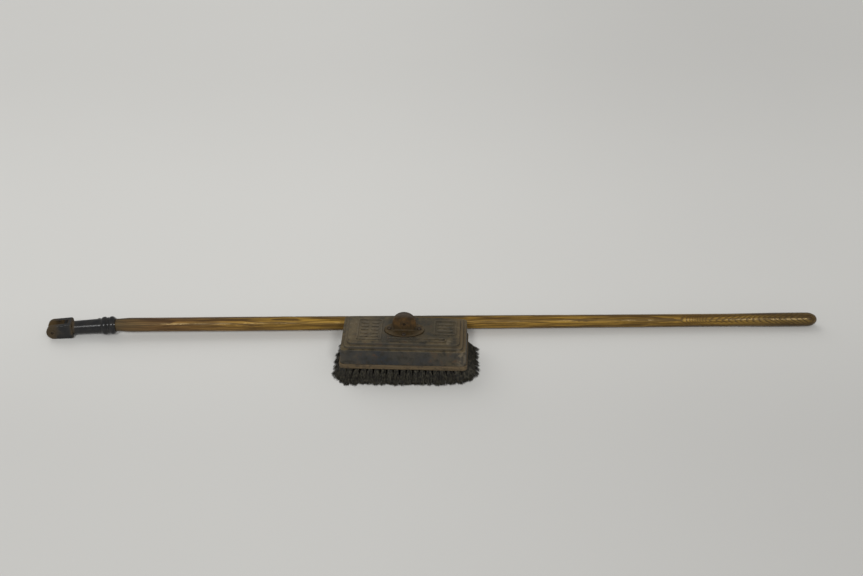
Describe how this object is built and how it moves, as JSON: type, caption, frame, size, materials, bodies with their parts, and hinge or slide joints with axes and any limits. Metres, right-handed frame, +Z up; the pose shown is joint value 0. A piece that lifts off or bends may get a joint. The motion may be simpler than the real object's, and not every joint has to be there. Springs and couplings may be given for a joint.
{
  "type": "floor polishing brush",
  "caption": "Weighted floor polishing brush: cast iron on a bristled wooden block with a pivot tongue, and its long wooden handle with a forked iron socket, unpinned and laid behind it.",
  "frame": {"origin": "on the floor, under the middle of the box round the head and the laid-down handle together", "axes": "+X along the handle, from the fork to the grip end; +Y from the brush head towards the handle; +Z up from the floor"},
  "size_m": [1.4924, 0.203, 0.1076],
  "materials": {
    "painted_iron": "worn dark paint over iron, dusty and rust-stained",
    "rusty_iron": "rust-brown bare iron",
    "black_iron": "black paint worn to rust at the ears",
    "dark_steel": "tarnished",
    "block_wood": "dark stained, worn edge",
    "ash_wood": "old varnish, open grain",
    "bristle": "stiff dark fibre, splayed with wear"
  },
  "bodies": {
    "brush_head": {"iron_weight": "painted_iron", "pivot_bracket": "rusty_iron", "bracket_screws": "dark_steel", "brush_block": "block_wood", "block_screws": "dark_steel", "bristle_row_1": "bristle", "bristle_row_2": "bristle", "bristle_row_3": "bristle", "bristle_row_4": "bristle", "bristle_row_5": "bristle", "bristle_row_6": "bristle", "bristle_row_7": "bristle", "bristle_row_8": "bristle", "bristle_row_9": "bristle"},
    "pin": {"pivot_pin": "dark_steel"},
    "handle": {"fork_socket": "black_iron", "handle_shaft": "ash_wood", "socket_nail": "dark_steel"}
  },
  "joints": [
    {"name": "handle_lift", "type": "slide", "parent": "brush_head", "child": "pin", "axis": [0, 0, 1], "range_m": [0, 0.13]},
    {"name": "handle_swing", "type": "hinge", "parent": "pin", "child": "handle", "pos_m": [-0.73474, 0.08413, 0.01409], "axis": [0, -1, 0], "range_deg": [0, 135]}
  ]
}
